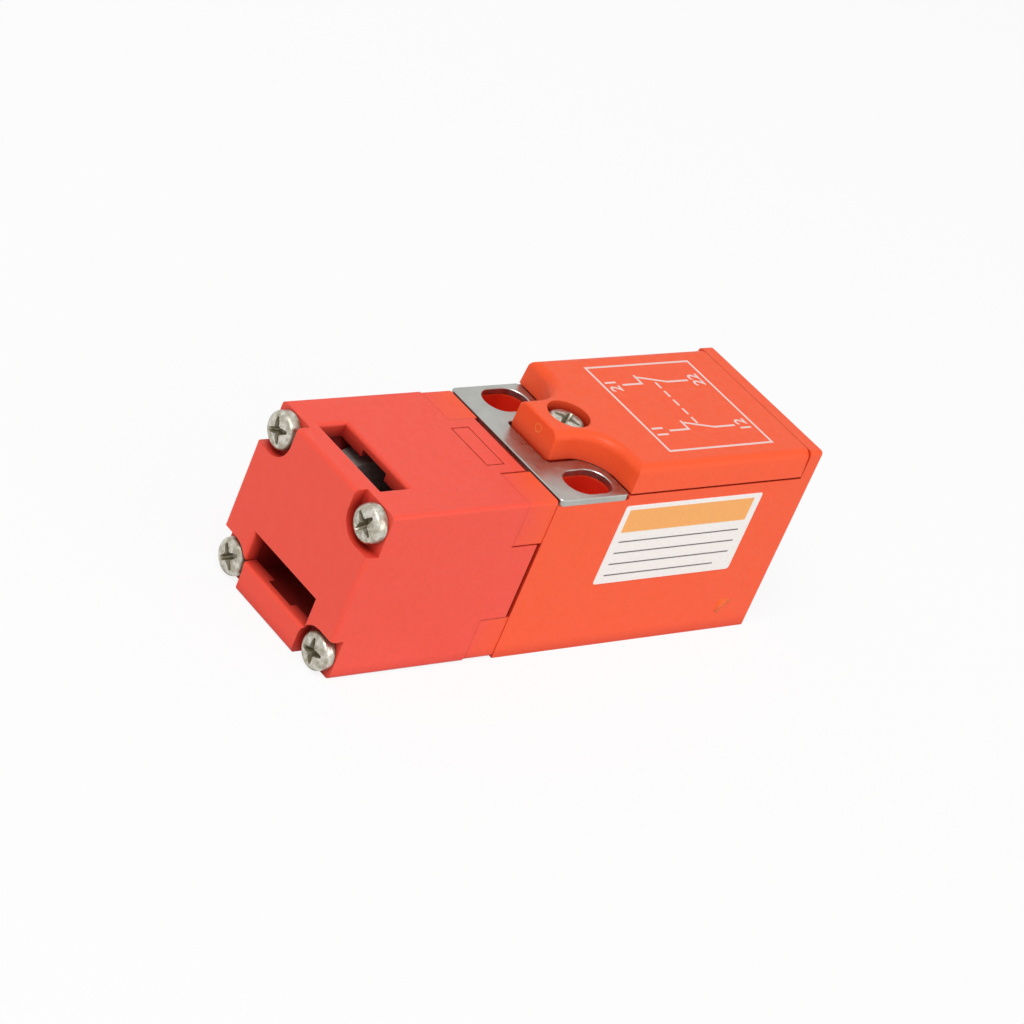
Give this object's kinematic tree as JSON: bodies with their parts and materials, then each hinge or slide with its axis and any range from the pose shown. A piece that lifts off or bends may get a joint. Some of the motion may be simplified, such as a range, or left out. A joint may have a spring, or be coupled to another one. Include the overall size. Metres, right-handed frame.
{
  "type": "tongue interlock switch",
  "caption": "Compact tongue-operated guard interlock switch: square actuator head with end and top tongue slots, steel slotted mounting plate, drafted wiring cover and threaded conduit entry.",
  "frame": {"origin": "on the mounting face, midway between the two mounting slots", "axes": "+X from the tongue end to the conduit end, +Z away from the mounting face towards the wiring cover, -Y the label side"},
  "size_m": [0.0752, 0.025, 0.029],
  "materials": {
    "head_red": "satin moulded red plastic",
    "body_orange_red": "fine matt moulded orange-red plastic",
    "stainless_sheet": "satin stainless sheet",
    "zinc_screw": "zinc-plated",
    "wheel_grey": "sintered dark grey metal",
    "spring_steel": "drawn wire",
    "seal_black": "matt",
    "plunger_white": "smooth acetal",
    "contact_black": "matt",
    "contact_metal": "plain brass"
  },
  "bodies": {
    "housing": {"head_housing": "head_red", "head_screws": "zinc_screw", "head_base": "body_orange_red", "wheel_axle": "zinc_screw", "plunger_spring": "spring_steel", "plunger_seal": "seal_black", "body_housing": "body_orange_red", "mounting_plate": "stainless_sheet", "cover_gasket": "seal_black", "contact_block": "contact_black", "contact_block_lid": "contact_black", "carrier_spring": "spring_steel", "fixed_contacts": "contact_metal", "terminal_clamps": "zinc_screw", "terminal_screws": "zinc_screw"},
    "wheel": {"key_wheel": "wheel_grey"},
    "slide": {"plunger": "plunger_white", "contact_carrier": "plunger_white", "contact_bridges": "contact_metal", "bridge_springs": "spring_steel"},
    "lid": {"cover": "body_orange_red", "cover_screw": "zinc_screw", "cover_screw_seal": "seal_black"}
  },
  "joints": [
    {"name": "key_wheel_turn", "type": "hinge", "parent": "housing", "child": "wheel", "pos_m": [-0.0239, 0, 0.0125], "axis": [0, -1, 0], "range_deg": [0, 60]},
    {"name": "plunger_stroke", "type": "slide", "parent": "housing", "child": "slide", "axis": [-1, 0, 0], "range_m": [0, 0.0025], "deforming": ["plunger_spring", "carrier_spring"]},
    {"name": "cover_lift", "type": "slide", "parent": "housing", "child": "lid", "axis": [0, 0, 1], "range_m": [0, 0.014]}
  ],
  "couplings": [
    {"joint": "plunger_stroke", "follows": "key_wheel_turn", "m_per_rad": 0.0023873}
  ]
}
